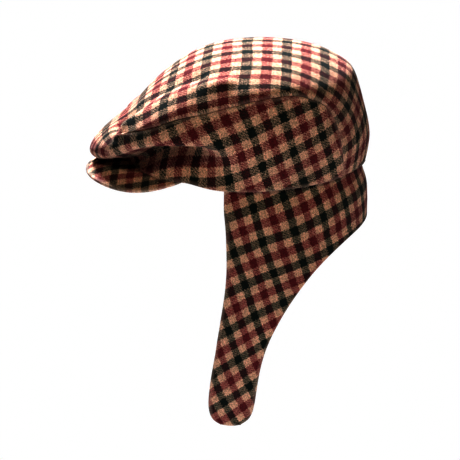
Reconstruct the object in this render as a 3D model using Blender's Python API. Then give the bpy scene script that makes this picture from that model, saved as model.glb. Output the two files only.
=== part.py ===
"""A woven wool cap with a short peak and two long ear flaps that meet at the nape.

Metres, +Z up. The peak points to -Y and the wearer's left is +X. The origin is the
middle of the head opening, at the height of the hem.
"""

import bpy
import numpy as np

# Cloth and fit
WALL = 0.0022
GAP = 0.0003

# Head opening, measured over the outside of the hem
RIM_LENGTH = 0.208
RIM_WIDTH = 0.158
RIM_SHIFT = 0.002
HEM_EAR = -0.0023
HEM_BACK = 0.0065
HEM_LOWEST_TURN = 82.0

# Crown
CROWN_HEIGHT = 0.116
CROWN_WIDTH = 0.184

# Peak
PEAK_REACH = 0.143
PEAK_WIDTH = 0.137
PEAK_THICKNESS = 0.0032
PEAK_HEIGHT = 0.0095
PEAK_TIP_FALL = 0.0100
PEAK_ROOT_ARCH = 0.0077
PEAK_ARCH = 0.0213
PEAK_ROOT_TURN = 58.7
PEAK_TUCK = 0.0030
PEAK_SQUARENESS = 0.87
PEAK_CLEARANCE = 0.0006

# Ear flaps and nape curtain
FLAP_LENGTH = 0.2390
FLAP_TUCK = 0.0090
FLAP_CLEARANCE = 0.0009
FLAP_FLARE = 0.08

# Higher powers make a flatter top with a tighter shoulder
SHOULDER_POWER = 6

# Share by which the top panel's rows crowd towards its shoulders
SHOULDER_CROWDING = 0.6

# Share of the wall by which an inner face draws back from its seams
SEAM_BEVEL = 0.75

# Look
WOOL_COLOUR = (0.20, 0.11, 0.075)
WOOL_ROUGHNESS = 0.9
SHARP_EDGE = 50.0

# Divisions of the faceted surfaces
SIDE_STEPS = (24, 16)
TOP_STEPS = 18
PEAK_STEPS = (28, 4)
FLAP_STEPS = (26, 10)

# A section of a side panel runs through five points: seam, belly, fold, tuck and hem.
SECTION_SPANS = 4

# A side panel, one row for each section from the front to the back. turn is the place of the
# section on the rim in degrees from the front. Each point is (out, along, up): out is a share of
# half the crown's width, along of half the rim's length, up of the crown's height.
# seam is the top edge, belly the fullest point, fold the edge of the overhang, and tuck the
# point where the cloth turns down into the wall.
SIDE_SECTIONS = (
    dict(
        turn=27.0, seam=(0.450, -1.075, 0.315), belly=(0.460, -1.120, 0.235),
        fold=(0.430, -1.115, 0.150), tuck=(0.400, -1.000, 0.060),
    ),
    dict(
        turn=37.5, seam=(0.610, -0.950, 0.372), belly=(0.620, -0.975, 0.300),
        fold=(0.590, -0.955, 0.222), tuck=(0.500, -0.850, 0.165),
    ),
    dict(
        turn=47.0, seam=(0.730, -0.820, 0.412), belly=(0.750, -0.835, 0.348),
        fold=(0.720, -0.825, 0.278), tuck=(0.600, -0.730, 0.255),
    ),
    dict(
        turn=55.5, seam=(0.830, -0.675, 0.465), belly=(0.860, -0.685, 0.390),
        fold=(0.820, -0.680, 0.315), tuck=(0.680, -0.605, 0.290),
    ),
    dict(
        turn=63.0, seam=(0.900, -0.500, 0.530), belly=(0.940, -0.500, 0.433),
        fold=(0.910, -0.500, 0.333), tuck=(0.755, -0.465, 0.290),
    ),
    dict(
        turn=75.0, seam=(0.950, -0.280, 0.582), belly=(0.985, -0.265, 0.467),
        fold=(0.965, -0.260, 0.348), tuck=(0.875, -0.245, 0.245),
    ),
    dict(
        turn=90.0, seam=(0.980, 0.000, 0.655), belly=(1.000, 0.005, 0.505),
        fold=(0.980, 0.010, 0.333), tuck=(0.935, 0.015, 0.165),
    ),
    dict(
        turn=105.5, seam=(0.970, 0.290, 0.712), belly=(0.990, 0.295, 0.545),
        fold=(0.965, 0.300, 0.355), tuck=(0.915, 0.295, 0.182),
    ),
    dict(
        turn=117.5, seam=(0.920, 0.450, 0.712), belly=(0.935, 0.465, 0.550),
        fold=(0.905, 0.480, 0.373), tuck=(0.855, 0.480, 0.200),
    ),
    dict(
        turn=130.0, seam=(0.885, 0.535, 0.690), belly=(0.845, 0.610, 0.560),
        fold=(0.785, 0.660, 0.400), tuck=(0.740, 0.680, 0.225),
    ),
    dict(
        turn=145.3, seam=(0.830, 0.610, 0.660), belly=(0.745, 0.700, 0.590),
        fold=(0.665, 0.775, 0.455), tuck=(0.600, 0.825, 0.255),
    ),
)

# The top panel, one row for each station of its edge: up the front seam, along the top seam and
# down the back seam. along and up place its centre line as in the table above. shoulder is the
# share of the section's fall that lies in its rounded shoulder, and ridge how soft the ridge is.
TOP_STATIONS = (
    dict(along=-0.985, up=0.085, shoulder=0.00, ridge=1.50),
    dict(along=-1.140, up=0.066, shoulder=0.00, ridge=1.50),
    dict(along=-1.290, up=0.073, shoulder=0.00, ridge=1.50),
    dict(along=-1.335, up=0.147, shoulder=0.00, ridge=1.50),
    dict(along=-1.245, up=0.267, shoulder=0.00, ridge=1.50),
    dict(along=-1.082, up=0.392, shoulder=0.00, ridge=1.20),
    dict(along=-0.938, up=0.508, shoulder=0.10, ridge=0.90),
    dict(along=-0.780, up=0.659, shoulder=0.20, ridge=0.70),
    dict(along=-0.575, up=0.810, shoulder=0.32, ridge=0.60),
    dict(along=-0.320, up=0.931, shoulder=0.36, ridge=0.50),
    dict(along=0.000, up=0.983, shoulder=0.38, ridge=0.45),
    dict(along=0.310, up=0.978, shoulder=0.38, ridge=0.45),
    dict(along=0.520, up=0.948, shoulder=0.38, ridge=0.45),
    dict(along=0.672, up=0.908, shoulder=0.34, ridge=0.50),
    dict(along=0.820, up=0.840, shoulder=0.25, ridge=0.60),
    dict(along=0.920, up=0.744, shoulder=0.15, ridge=0.90),
    dict(along=1.000, up=0.517, shoulder=0.05, ridge=1.20),
    dict(along=1.055, up=0.276, shoulder=0.00, ridge=1.50),
    dict(along=1.022, up=0.059, shoulder=0.00, ridge=1.50),
)

# Creases of the top panel, each pressed in along a line between two places (station, sweep), where
# the sweep runs from -1 at the right seam to 1 at the left. Depth and width are shares of the height.
CREASES = (
    dict(start=(8.8, 0.66), end=(5.2, 0.52), depth=0.026, width=0.065),
    dict(start=(5.0, 0.58), end=(4.6, 0.82), depth=0.024, width=0.060),
    dict(start=(8.4, -0.62), end=(5.4, -0.50), depth=0.022, width=0.070),
)

# A flap's front and back edges, one row for each line across it, from under the hem to the tip.
# Turns are degrees on the rim and drops are shares of the flap's length. The first CURTAIN_ROWS
# rows end at the seam behind, where the two flaps meet.
CURTAIN_ROWS = 4
FLAP_ROWS = (
    dict(front_turn=80.0, front_drop=0.000, back_turn=180.0, back_drop=0.000),
    dict(front_turn=80.6, front_drop=0.062, back_turn=180.0, back_drop=0.067),
    dict(front_turn=81.5, front_drop=0.134, back_turn=180.0, back_drop=0.133),
    dict(front_turn=81.9, front_drop=0.207, back_turn=180.0, back_drop=0.200),
    dict(front_turn=81.9, front_drop=0.309, back_turn=152.0, back_drop=0.227),
    dict(front_turn=80.7, front_drop=0.413, back_turn=134.0, back_drop=0.279),
    dict(front_turn=78.9, front_drop=0.507, back_turn=122.3, back_drop=0.348),
    dict(front_turn=77.2, front_drop=0.598, back_turn=113.0, back_drop=0.437),
    dict(front_turn=75.4, front_drop=0.684, back_turn=105.6, back_drop=0.537),
    dict(front_turn=73.7, front_drop=0.760, back_turn=99.8, back_drop=0.653),
    dict(front_turn=72.3, front_drop=0.838, back_turn=96.4, back_drop=0.781),
    dict(front_turn=71.7, front_drop=0.911, back_turn=94.4, back_drop=0.897),
    dict(front_turn=73.6, front_drop=0.971, back_turn=91.4, back_drop=0.965),
    dict(front_turn=78.6, front_drop=1.000, back_turn=86.3, back_drop=1.000),
)

# How a flap hangs below the hem: out and back are shares of half the rim's width and length.
FLAP_HANG = (
    dict(drop=0.00, out=1.000, back=1.000),
    dict(drop=0.06, out=1.006, back=1.022),
    dict(drop=0.14, out=1.006, back=1.030),
    dict(drop=0.26, out=0.985, back=1.030),
    dict(drop=0.38, out=0.935, back=1.030),
    dict(drop=0.54, out=0.835, back=1.030),
    dict(drop=0.78, out=0.620, back=1.030),
    dict(drop=1.00, out=0.385, back=1.030),
)


def spline(rows, at):
    """Natural cubic spline through the rows, whose knots are 0, 1, 2 ..., read at the places in at."""
    rows = np.asarray(rows, float)
    last = len(rows) - 1
    matrix = np.eye(last + 1)
    bend = np.zeros_like(rows)
    for knot in range(1, last):
        matrix[knot, knot - 1 : knot + 2] = (1.0, 4.0, 1.0)
        bend[knot] = 6.0 * (rows[knot - 1] - 2.0 * rows[knot] + rows[knot + 1])
    second = np.linalg.solve(matrix, bend.reshape(last + 1, -1)).reshape(rows.shape)
    low = np.clip(np.floor(at).astype(int), 0, last - 1)
    part = (np.asarray(at) - low).reshape((-1,) + (1,) * (rows.ndim - 1))
    rest = 1.0 - part
    line = rest * rows[low] + part * rows[low + 1]
    return line + ((rest**3 - rest) * second[low] + (part**3 - part) * second[low + 1]) / 6.0


def column(table, name):
    """One named column of a table."""
    return np.array([row[name] for row in table], float)


def peak_root():
    """How far along Y the peak's two rear corners lie."""
    return RIM_SHIFT - 0.5 * RIM_LENGTH * np.cos(np.radians(PEAK_ROOT_TURN))


def peak_height(x, y):
    """Height of the peak's upper face: arched across, more so in front, and falling to its tip."""
    root = peak_root()
    base = RIM_SHIFT - 0.5 * RIM_LENGTH
    forward = np.maximum((root - y) / (root - base), 0.0)
    arch = PEAK_ROOT_ARCH + (PEAK_ARCH - PEAK_ROOT_ARCH) * forward
    tip = np.maximum((base - y) / (PEAK_REACH + base), 0.0)
    return PEAK_HEIGHT - arch * (x / (0.5 * PEAK_WIDTH)) ** 2 - PEAK_TIP_FALL * tip**3


def ease(share):
    """Rises from 0 to 1 with a level start and end."""
    share = np.clip(share, 0.0, 1.0)
    return 0.5 - 0.5 * np.cos(np.pi * share)


def rim(turn, inset=0.0):
    """Outer edge of the hem at a turn in degrees, negative on the right.

    It sits on the peak, dips at the ear and rises again behind.
    """
    angle = np.radians(turn)
    away = np.abs(turn)
    x = (0.5 * RIM_WIDTH - inset) * np.sin(angle)
    y = RIM_SHIFT - (0.5 * RIM_LENGTH - inset) * np.cos(angle)
    temple_x = 0.5 * RIM_WIDTH * np.sin(np.radians(PEAK_ROOT_TURN))
    temple_height = peak_height(temple_x, peak_root()) + PEAK_CLEARANCE
    to_ear = ease((away - PEAK_ROOT_TURN) / (HEM_LOWEST_TURN - PEAK_ROOT_TURN))
    to_back = ease((away - HEM_LOWEST_TURN) / (180.0 - HEM_LOWEST_TURN))
    behind = temple_height + (HEM_EAR - temple_height) * to_ear + (HEM_BACK - HEM_EAR) * to_back
    z = np.where(away <= PEAK_ROOT_TURN, peak_height(x, y) + PEAK_CLEARANCE, behind)
    return np.stack([x, y, z], -1)


def crown_point(shares):
    """A point from its shares of the crown's half width, the rim's half length and the height."""
    return np.asarray(shares, float) * (0.5 * CROWN_WIDTH, 0.5 * RIM_LENGTH, CROWN_HEIGHT)


def rest_on_peak(points):
    """Lifts what would sink into the peak to just above it."""
    points = points.copy()
    floor = peak_height(points[..., 0], points[..., 1]) + PEAK_CLEARANCE
    above = np.maximum(points[..., 2], floor)
    points[..., 2] = np.where(points[..., 1] < peak_root(), above, points[..., 2])
    return points


def side_net():
    """Control points of the left side panel: sections from front to back, each from seam to hem."""
    hem = rim(column(SIDE_SECTIONS, "turn"))
    parts = [crown_point(column(SIDE_SECTIONS, name)) for name in ("seam", "belly", "fold", "tuck")]
    return np.stack(parts + [hem], 1)


def side_surface(across, down):
    """The left side panel read at section places across and at places down each section."""
    sections = spline(side_net(), across)
    surface = spline(np.swapaxes(sections, 0, 1), down)
    return rest_on_peak(np.swapaxes(surface, 0, 1))


def top_edge(stations):
    """The side panel's outline, from the front hem up, along the top seam and down to the back hem."""
    sections = len(SIDE_SECTIONS) - 1
    across = np.clip(stations - SECTION_SPANS, 0.0, sections)
    down = np.maximum(SECTION_SPANS - stations, 0.0) + np.maximum(stations - SECTION_SPANS - sections, 0.0)
    surface = side_surface(across, down)
    return surface[np.arange(len(stations)), np.arange(len(stations))]


def smooth_top(stations, sweep):
    """The top panel without its creases.

    Each section falls from its centre to both seams, over a soft ridge and a round shoulder. Within
    a station of either end it blends onto the rim.
    """
    edge = top_edge(stations)[:, None, :]
    middle_line = crown_point([(0.0, row["along"], row["up"]) for row in TOP_STATIONS])
    centre = spline(middle_line, stations)[:, None, :]
    shoulder = spline(column(TOP_STATIONS, "shoulder"), stations)[:, None]
    ridge = spline(column(TOP_STATIONS, "ridge"), stations)[:, None]
    reach = np.abs(sweep)[None, :]
    soft = (np.sqrt(reach**2 + ridge**2) - ridge) / (np.sqrt(1.0 + ridge**2) - ridge)
    round_off = 1.0 - np.sqrt(1.0 - reach**SHOULDER_POWER)
    fall = (1.0 - shoulder) * soft + shoulder * round_off
    x = edge[..., 0] * sweep[None, :]
    rest = centre[..., 1:] + (edge[..., 1:] - centre[..., 1:]) * fall[..., None]
    surface = np.concatenate([x[..., None], rest], -1)
    from_front = SIDE_SECTIONS[0]["turn"] * sweep
    from_back = np.copysign(180.0, sweep) + (SIDE_SECTIONS[-1]["turn"] - 180.0) * sweep
    for turn, from_end in ((from_front, stations), (from_back, len(TOP_STATIONS) - 1.0 - stations)):
        at_hem = ease(1.0 - from_end)[:, None, None]
        surface = surface + at_hem * (rim(turn) - surface)
    return rest_on_peak(surface)


def top_surface(stations, sweep):
    """The top panel with each crease pressed in, deepest on its line and fading to both sides."""
    surface = smooth_top(stations, sweep)
    inward = normals(np.swapaxes(surface, 0, 1)).swapaxes(0, 1)
    pressed = np.zeros(surface.shape[:2])
    for crease in CREASES:
        start = smooth_top(*np.array(crease["start"]).reshape(2, 1))[0, 0]
        run = smooth_top(*np.array(crease["end"]).reshape(2, 1))[0, 0] - start
        along = np.clip(((surface - start) @ run) / (run @ run), 0.0, 1.0)
        away = np.linalg.norm(surface - (start + along[..., None] * run), axis=-1)
        shares = np.exp(-((away / (CROWN_HEIGHT * crease["width"])) ** 2))
        pressed += CROWN_HEIGHT * crease["depth"] * shares
    pressed *= 1.0 - np.abs(sweep) ** SHOULDER_POWER
    return surface - inward * pressed[..., None]


def flap_rows(down):
    """Front and back turns and drops along the flap, with a corner where the nape seam ends."""
    names = ("front_turn", "front_drop", "back_turn", "back_drop")
    rows = np.stack([column(FLAP_ROWS, name) for name in names], -1)
    rows[0, 1::2] = -FLAP_TUCK / FLAP_LENGTH
    corner = CURTAIN_ROWS - 1
    curtain = spline(rows[: corner + 1], np.minimum(down, corner))
    flap = spline(rows[corner:], np.maximum(down - corner, 0.0))
    return np.where(down[:, None] < corner, curtain, flap)


def flap_surface(across, down):
    """The left flap with its half of the nape curtain: down its rows, across each to the back."""
    rows = flap_rows(down)[:, None, :]
    turn = rows[..., 0] + (rows[..., 2] - rows[..., 0]) * across
    drop = rows[..., 1] + (rows[..., 3] - rows[..., 1]) * across
    inset = (WALL + FLAP_CLEARANCE) * (1.0 - ease(drop / FLAP_FLARE))
    knots = column(FLAP_HANG, "drop")
    out = 0.5 * RIM_WIDTH * np.interp(drop, knots, column(FLAP_HANG, "out")) - inset
    back = 0.5 * RIM_LENGTH * np.interp(drop, knots, column(FLAP_HANG, "back")) - inset
    x = out * np.sin(np.radians(turn))
    y = RIM_SHIFT - back * np.cos(np.radians(turn))
    z = rim(turn)[..., 2] * (1.0 - ease(drop)) - FLAP_LENGTH * drop
    return np.stack([x, y, z], -1)


def peak_surface(across, inward):
    """The peak's upper face: across from right to left, inward from its edge to under the hem."""
    spread = across[:, None]
    turn = np.radians(90.0 * spread)
    edge_x = 0.5 * PEAK_WIDTH * np.sign(turn) * np.abs(np.sin(turn)) ** PEAK_SQUARENESS
    edge_y = peak_root() - (PEAK_REACH + peak_root()) * np.cos(turn) ** PEAK_SQUARENESS
    base = rim(PEAK_ROOT_TURN * spread, PEAK_TUCK)
    x = edge_x + (base[..., 0] - edge_x) * inward[None, :]
    y = edge_y + (base[..., 1] - edge_y) * inward[None, :]
    return np.stack([x, y, peak_height(x, y)], -1)


def normals(surface):
    """Unit normals of a grid of points, from its differences along both directions."""
    normal = np.cross(np.gradient(surface, axis=0), np.gradient(surface, axis=1))
    return normal / np.linalg.norm(normal, axis=-1, keepdims=True)


def drawn_back(surface, seams, distance):
    """The grid with each edge that meets a seam moved inwards along the surface."""
    moved = surface.copy()
    beside = {"first": (0, 1), "last": (-1, -2)}
    for axis, side in seams:
        edge, inside = beside[side]
        grid = np.moveaxis(moved, axis, 0)
        source = np.moveaxis(surface, axis, 0)
        way = source[inside] - source[edge]
        grid[edge] += way * (distance / np.linalg.norm(way, axis=-1, keepdims=True))
    return moved


def shell(surface, thickness, seams=()):
    """The outer and inner faces of a piece. The inner face draws back further from the seams."""
    outer = drawn_back(surface, seams, 0.5 * GAP)
    inner = drawn_back(surface - normals(surface) * thickness, seams, SEAM_BEVEL * thickness)
    return outer, inner


def mirrored(faces):
    """The same piece for the other side of the head, its rows turned round so that it still faces out."""
    return [face[::-1] * (-1.0, 1.0, 1.0) for face in faces]


def cloth(name):
    """A plain Principled material of the wool check's mean colour."""
    material = bpy.data.materials.new(name + "_cloth")
    material.use_nodes = True
    shader = material.node_tree.nodes["Principled BSDF"]
    shader.inputs["Base Color"].default_value = (*WOOL_COLOUR, 1.0)
    shader.inputs["Roughness"].default_value = WOOL_ROUGHNESS
    shader.inputs["Metallic"].default_value = 0.0
    return material


def solid(name, faces):
    """One closed body between an outer and an inner grid of the same size."""
    rows, columns = faces[0].shape[:2]
    count = rows * columns
    index = np.arange(count).reshape(rows, columns)
    quads = np.stack([index[:-1, :-1], index[1:, :-1], index[1:, 1:], index[:-1, 1:]], -1).reshape(-1, 4)
    ring = np.concatenate([index[0, :-1], index[:-1, -1], index[-1, :0:-1], index[:0:-1, 0]])
    after = np.roll(ring, -1)
    walls = np.stack([ring, after, after + count, ring + count], -1)
    corners = np.concatenate([quads, quads[:, ::-1] + count, walls])
    mesh = bpy.data.meshes.new(name)
    mesh.from_pydata(np.concatenate(faces).reshape(-1, 3).tolist(), [], corners.tolist())
    mesh.shade_smooth()
    mesh.set_sharp_from_angle(angle=np.radians(SHARP_EDGE))
    mesh.materials.append(cloth(name))
    bpy.context.scene.collection.objects.link(bpy.data.objects.new(name, mesh))


def build_crown():
    """The two side panels and the top panel between them, all ending at the hem."""
    across = np.linspace(0.0, len(SIDE_SECTIONS) - 1.0, SIDE_STEPS[0] + 1)
    down = np.linspace(0.0, SECTION_SPANS, SIDE_STEPS[1] + 1)
    side = np.swapaxes(side_surface(across, down), 0, 1)
    side = [rest_on_peak(face) for face in shell(side, WALL, ((0, "first"), (1, "first"), (1, "last")))]
    solid("side_panel_left", side)
    solid("side_panel_right", mirrored(side))
    stations = np.concatenate([down, SECTION_SPANS + across[1:], SECTION_SPANS + across[-1] + down[1:]])
    even = np.linspace(-1.0, 1.0, TOP_STEPS + 1)
    sweep = even + SHOULDER_CROWDING * (np.sin(0.5 * np.pi * even) - even)
    top = np.swapaxes(top_surface(stations, sweep), 0, 1)
    solid("crown_top", [rest_on_peak(face) for face in shell(top, WALL, ((0, "first"), (0, "last")))])


def build_peak():
    """The stiff peak, its inner edge tucked under the crown's hem from temple to temple."""
    across = np.linspace(-1.0, 1.0, PEAK_STEPS[0] + 1)
    inward = np.linspace(0.0, 1.0, PEAK_STEPS[1] + 1)
    solid("brim", shell(peak_surface(across, inward), PEAK_THICKNESS))


def build_flaps():
    """Both ear flaps, each with its half of the nape curtain."""
    down = np.linspace(0.0, len(FLAP_ROWS) - 1.0, FLAP_STEPS[0] + 1)
    across = np.linspace(0.0, 1.0, FLAP_STEPS[1] + 1)
    left_side = (0.5 * GAP, -np.inf, -np.inf)
    flap = [np.maximum(face, left_side) for face in shell(flap_surface(across, down), WALL)]
    solid("ear_flap_left", flap)
    solid("ear_flap_right", mirrored(flap))


for old in list(bpy.data.objects):
    bpy.data.objects.remove(old, do_unlink=True)
build_crown()
build_peak()
build_flaps()
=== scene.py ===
# %% [markdown]
# # A woven wool check cap with a short peak and long ear flaps
#
# The cap is cut from one wool cloth with a four-stripe check. Two side panels and a top panel make
# the crown, a covered board makes the peak, and two flaps hang from the hem and meet behind the
# neck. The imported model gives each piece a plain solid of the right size. This script dresses every
# solid with a finer cloth piece: softer, with its seams, folds, weave and wear.

import bpy
import numpy as np
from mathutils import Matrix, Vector


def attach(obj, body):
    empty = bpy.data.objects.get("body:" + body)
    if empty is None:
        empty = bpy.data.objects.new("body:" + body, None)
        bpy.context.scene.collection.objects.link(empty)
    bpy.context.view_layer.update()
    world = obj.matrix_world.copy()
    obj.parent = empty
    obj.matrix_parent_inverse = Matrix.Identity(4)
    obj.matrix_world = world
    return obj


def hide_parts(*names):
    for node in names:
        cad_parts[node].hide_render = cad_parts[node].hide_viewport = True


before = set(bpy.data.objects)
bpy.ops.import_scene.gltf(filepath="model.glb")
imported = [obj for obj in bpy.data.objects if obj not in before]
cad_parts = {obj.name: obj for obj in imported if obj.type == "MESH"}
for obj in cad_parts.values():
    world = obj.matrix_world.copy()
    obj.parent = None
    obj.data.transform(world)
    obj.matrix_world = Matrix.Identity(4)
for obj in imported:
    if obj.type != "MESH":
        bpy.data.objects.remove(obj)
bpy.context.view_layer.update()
print("solids:", ", ".join(sorted(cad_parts)))

# %% [markdown]
# ## The camera
#
# A photograph of a product is mostly taken from far off with a long lens, which keeps the shape
# free of strong perspective. Here the camera stands 1.5 m away on the wearer's left, a little
# above. It is set first, so that each piece can be looked at from the photograph's own side.

# %% Camera on the wearer's left
CAMERA_AZIMUTH = 93.0
CAMERA_ELEVATION = 17.0
CAMERA_DISTANCE = 1.5
CAMERA_LENS = 131.48
CAMERA_AIM = Vector((0.0174, -0.0129, -0.0546))


def direction(azimuth, elevation):
    """Unit vector towards a place: azimuth 0 is in front of the peak, 90 on the wearer's left."""
    turn, rise = np.radians((azimuth, elevation))
    return Vector((np.sin(turn) * np.cos(rise), -np.cos(turn) * np.cos(rise), np.sin(rise)))


camera = bpy.data.objects.new("camera", bpy.data.cameras.new("camera"))
camera.data.lens = CAMERA_LENS
camera.location = CAMERA_AIM + CAMERA_DISTANCE * direction(CAMERA_AZIMUTH, CAMERA_ELEVATION)
camera.rotation_mode = "QUATERNION"
camera.rotation_quaternion = (CAMERA_AIM - camera.location).to_track_quat("-Z", "Y")
bpy.context.scene.collection.objects.link(camera)
bpy.context.scene.camera = camera
print("camera at", tuple(round(value, 3) for value in camera.location))

# %% [markdown]
# ## The cap's sizes
#
# The solids were made from a few named sizes and short tables of sections. The cloth pieces start
# from the same ones, so they lie where the solids are. Each table holds shares of the named sizes:
# half the crown's width, half the rim's length and the crown's height. What only soft cloth has, a
# rounder shoulder, creases, a seam's groove and a hollow under a fold, has its own small values.

# %% Sizes in metres, turns in degrees, the rest shares and counts
WALL = 0.0022
RIM_LENGTH = 0.208
RIM_WIDTH = 0.158
RIM_SHIFT = 0.002
HEM_EAR = -0.0023
HEM_BACK = 0.0065
HEM_LOWEST_TURN = 82.0
CROWN_HEIGHT = 0.116
CROWN_WIDTH = 0.184
PEAK_REACH = 0.143
PEAK_WIDTH = 0.137
PEAK_THICKNESS = 0.0032
PEAK_HEIGHT = 0.0095
PEAK_TIP_FALL = 0.0100
PEAK_ROOT_ARCH = 0.0077
PEAK_ARCH = 0.0213
PEAK_ROOT_TURN = 58.7
PEAK_TUCK = 0.0030
PEAK_SQUARENESS = 0.87
PEAK_CLEARANCE = 0.0006
PEAK_CORNER = 0.06
PEAK_CORNER_THINNING = 0.6
FLAP_LENGTH = 0.2390
FLAP_TUCK = 0.0090
FLAP_CLEARANCE = 0.0009
FLAP_FLARE = 0.10
FLAP_TIP_ROUND = 0.008
SHOULDER_POWER = 6.5
SECTION_SPANS = 4
CURTAIN_ROWS = 4

print("crown", CROWN_WIDTH, "m wide and", CROWN_HEIGHT, "m high, flaps", FLAP_LENGTH, "m long")

# %% Sections of a side panel
# From front to back: turn on the rim in degrees, then the seam, belly, fold and tuck.
SIDE_SECTIONS = (
    dict(
        turn=27.0, seam=(0.450, -1.075, 0.315), belly=(0.460, -1.120, 0.235),
        fold=(0.430, -1.115, 0.150), tuck=(0.400, -1.000, 0.060),
    ),
    dict(
        turn=37.5, seam=(0.610, -0.950, 0.372), belly=(0.620, -0.975, 0.300),
        fold=(0.590, -0.955, 0.222), tuck=(0.500, -0.850, 0.165),
    ),
    dict(
        turn=47.0, seam=(0.730, -0.820, 0.412), belly=(0.750, -0.835, 0.348),
        fold=(0.720, -0.825, 0.278), tuck=(0.600, -0.730, 0.255),
    ),
    dict(
        turn=55.5, seam=(0.830, -0.675, 0.465), belly=(0.860, -0.685, 0.390),
        fold=(0.820, -0.680, 0.315), tuck=(0.680, -0.605, 0.290),
    ),
    dict(
        turn=63.0, seam=(0.900, -0.500, 0.530), belly=(0.940, -0.500, 0.433),
        fold=(0.910, -0.500, 0.333), tuck=(0.755, -0.465, 0.290),
    ),
    dict(
        turn=75.0, seam=(0.950, -0.280, 0.582), belly=(0.985, -0.265, 0.467),
        fold=(0.965, -0.260, 0.348), tuck=(0.875, -0.245, 0.245),
    ),
    dict(
        turn=90.0, seam=(0.980, 0.000, 0.655), belly=(1.000, 0.005, 0.505),
        fold=(0.980, 0.010, 0.333), tuck=(0.935, 0.015, 0.165),
    ),
    dict(
        turn=105.5, seam=(0.970, 0.290, 0.712), belly=(0.990, 0.295, 0.545),
        fold=(0.965, 0.300, 0.355), tuck=(0.915, 0.295, 0.182),
    ),
    dict(
        turn=117.5, seam=(0.920, 0.450, 0.712), belly=(0.935, 0.465, 0.550),
        fold=(0.905, 0.480, 0.373), tuck=(0.855, 0.480, 0.200),
    ),
    dict(
        turn=130.0, seam=(0.885, 0.535, 0.690), belly=(0.845, 0.610, 0.560),
        fold=(0.785, 0.660, 0.400), tuck=(0.740, 0.680, 0.225),
    ),
    dict(
        turn=145.3, seam=(0.830, 0.610, 0.660), belly=(0.745, 0.700, 0.590),
        fold=(0.665, 0.775, 0.455), tuck=(0.600, 0.825, 0.255),
    ),
)

print(len(SIDE_SECTIONS), "side sections")

# %% Stations of the top panel
# Columns: along and up on its centre line, the share of its round shoulder, its ridge's softness.
TOP_STATIONS = np.array((
    (-0.985, 0.085, 0.00, 1.50), (-1.140, 0.066, 0.00, 1.50),
    (-1.290, 0.073, 0.00, 1.50), (-1.335, 0.147, 0.00, 1.50),
    (-1.245, 0.267, 0.00, 1.50), (-1.082, 0.392, 0.15, 1.20),
    (-0.938, 0.508, 0.30, 0.90), (-0.780, 0.659, 0.38, 0.70),
    (-0.575, 0.810, 0.40, 0.60), (-0.320, 0.931, 0.40, 0.50),
    (0.000, 0.983, 0.40, 0.45), (0.310, 0.978, 0.40, 0.45),
    (0.520, 0.948, 0.38, 0.45), (0.672, 0.908, 0.34, 0.50),
    (0.820, 0.840, 0.25, 0.60), (0.920, 0.744, 0.15, 0.90),
    (1.000, 0.517, 0.05, 1.20), (1.055, 0.276, 0.00, 1.50),
    (1.022, 0.059, 0.00, 1.50),
), float)

print(len(TOP_STATIONS), "top stations")

# %% Relief that only the cloth has
# Creases pressed into the top panel between two places (station, sweep); below zero, a raised fold.
CREASES = (
    dict(start=(8.8, 0.66), end=(5.2, 0.52), depth=0.026, width=0.065),
    dict(start=(5.0, 0.58), end=(4.6, 0.82), depth=0.024, width=0.060),
    dict(start=(8.4, -0.62), end=(5.4, -0.50), depth=0.022, width=0.070),
    dict(start=(9.6, 0.84), end=(5.0, 0.77), depth=-0.034, width=0.065),
    dict(start=(9.6, -0.84), end=(5.0, -0.77), depth=-0.034, width=0.065),
)
# The seam between the top and the sides lies in a shallow groove: its depth and half width. Creases
# and folds fade before it. The hem is folded over, so it swells a little: height and half width.
SEAM_SINK = 0.0004
SEAM_REACH = 0.0035
FOLD_FADES = 0.010
HEM_SWELL = 0.0007
HEM_REACH = 0.004
# Under the overhang the side is drawn in, mostly in front: how deep, and the sections where it
# fades. There it is lifted too: how far, and the section where that ends.
HOLLOW_DEPTH = 0.018
HOLLOW_FADES = (2.8, 6.6)
HOLLOW_RISE = 0.009
HOLLOW_LEVEL = 3.0

print(len(CREASES), "creases and folds")

# %% Edges and hang of a flap
# Columns: front turn and drop, back turn and drop; turns in degrees, drops as shares of its length.
FLAP_ROWS = np.array((
    (80.0, 0.000, 180.0, 0.000), (80.6, 0.062, 180.0, 0.067),
    (81.5, 0.134, 180.0, 0.133), (81.9, 0.207, 180.0, 0.200),
    (81.9, 0.309, 152.0, 0.227), (80.7, 0.413, 134.0, 0.279),
    (78.9, 0.507, 122.3, 0.348), (77.2, 0.598, 113.0, 0.437),
    (75.4, 0.684, 105.6, 0.537), (73.7, 0.760, 99.8, 0.653),
    (72.3, 0.838, 96.4, 0.781), (71.7, 0.911, 94.4, 0.897),
    (73.4, 0.968, 91.7, 0.962), (77.6, 0.992, 87.3, 0.992),
), float)

# How it hangs below the hem. Columns: drop, then shares of half the rim's width and length.
FLAP_HANG = np.array((
    (0.00, 1.000, 1.000), (0.06, 1.006, 1.022), (0.14, 1.006, 1.030),
    (0.26, 0.985, 1.030), (0.38, 0.935, 1.030), (0.54, 0.835, 1.030),
    (0.78, 0.620, 1.030), (1.00, 0.385, 1.030),
), float)
print(len(FLAP_ROWS), "rows of a flap")

# %% [markdown]
# ## Smooth surfaces from a few sections
#
# A loft between sections can be made with Blender's curve and skin tools, but a formula is easier to
# steer. A natural cubic spline runs through the sections along one direction, and a second spline
# runs through the results along the other, so every point of a panel is a function of two numbers.

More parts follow.
